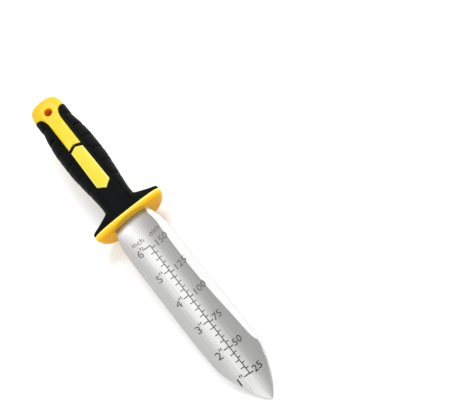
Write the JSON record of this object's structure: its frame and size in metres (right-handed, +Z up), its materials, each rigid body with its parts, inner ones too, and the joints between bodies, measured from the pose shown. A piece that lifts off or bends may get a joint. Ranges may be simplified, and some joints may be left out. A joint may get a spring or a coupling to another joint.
{
  "type": "hand trowel",
  "caption": "Pointed hand trowel with a hollow steel blade marked with a depth scale, a yellow hand guard and a black and yellow grip handle.",
  "frame": {"origin": "centre of the bounding box's bottom face: the table that the trowel rests on is z = 0", "axes": "+X runs from the pommel to the tip, +Z up, with the hollow side of the blade and its scale facing up; the tool is pitched tip down because it rests on the guard and the tip"},
  "size_m": [0.3026, 0.0608, 0.0452],
  "materials": {
    "blade_steel": "satin, brushed along the blade",
    "yellow_plastic": "semi-gloss moulded",
    "grip_rubber": "matte moulded"
  },
  "bodies": {
    "root": {"blade": "blade_steel", "guard": "yellow_plastic", "handle_core": "yellow_plastic", "grip": "grip_rubber", "top_inlay": "yellow_plastic", "bottom_inlay": "yellow_plastic"}
  },
  "joints": []
}
